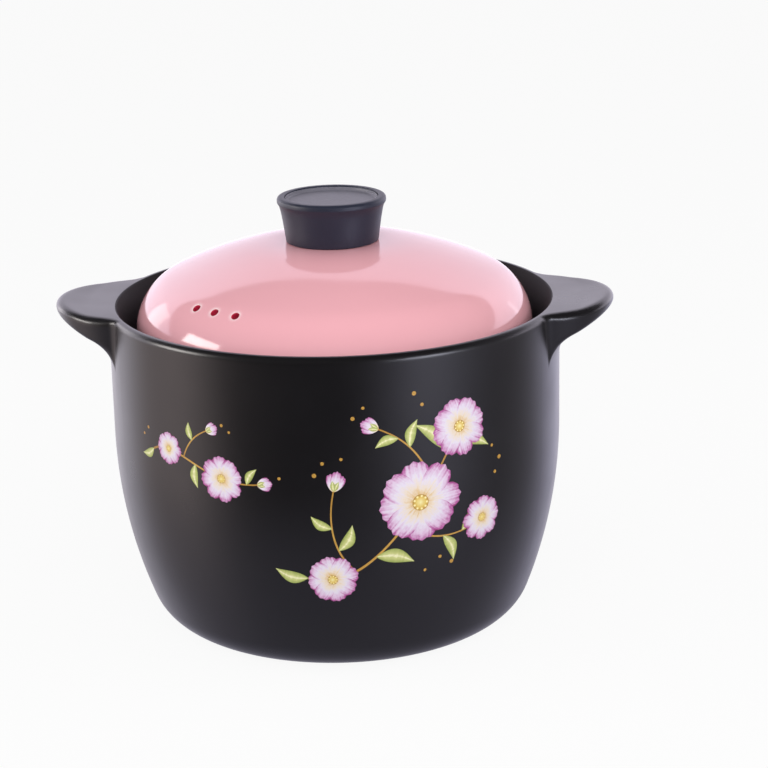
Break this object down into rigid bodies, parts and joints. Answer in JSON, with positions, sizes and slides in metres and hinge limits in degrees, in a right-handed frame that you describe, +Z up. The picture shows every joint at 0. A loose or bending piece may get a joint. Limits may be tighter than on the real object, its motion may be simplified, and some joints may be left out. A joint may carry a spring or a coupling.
{
  "type": "lidded stockpot",
  "caption": "Round stoneware stockpot with lug handles flush with its rim, and a glazed dome lid with steam vents and a screwed-on knob, for simmering soups and stews.",
  "frame": {"origin": "middle of the foot ring, on the surface that the pot stands on", "axes": "+Z up along the pot's axis, +X through the handles, -Y the decorated front"},
  "size_m": [0.29, 0.2336, 0.2232],
  "materials": {
    "body_glaze": "black satin glaze on stoneware",
    "lid_glaze": "pink gloss glaze",
    "knob_phenolic": "moulded phenolic, satin",
    "inlay_phenolic": "moulded phenolic, stippled",
    "insert_brass": "turned",
    "gasket_silicone": "moulded silicone, matt",
    "washer_silicone": "moulded silicone, translucent white",
    "fixing_steel": "stainless, tumbled"
  },
  "bodies": {
    "pot": {"pot_body": "body_glaze", "handle_right": "body_glaze", "handle_left": "body_glaze"},
    "knob": {"knob_grip": "knob_phenolic", "knob_inlay": "inlay_phenolic", "knob_insert": "insert_brass", "knob_gasket": "gasket_silicone", "silicone_washer": "washer_silicone", "steel_washer": "fixing_steel", "lid_screw": "fixing_steel"},
    "lid": {"lid_dome": "lid_glaze"}
  },
  "joints": [
    {"name": "lid_lift", "type": "slide", "parent": "pot", "child": "knob", "axis": [0, 0, 1], "range_m": [0, 0.12]},
    {"name": "lid_turn", "type": "hinge", "parent": "knob", "child": "lid", "pos_m": [0, 0, 0.16], "axis": [0, 0, 1], "continuous": true}
  ]
}
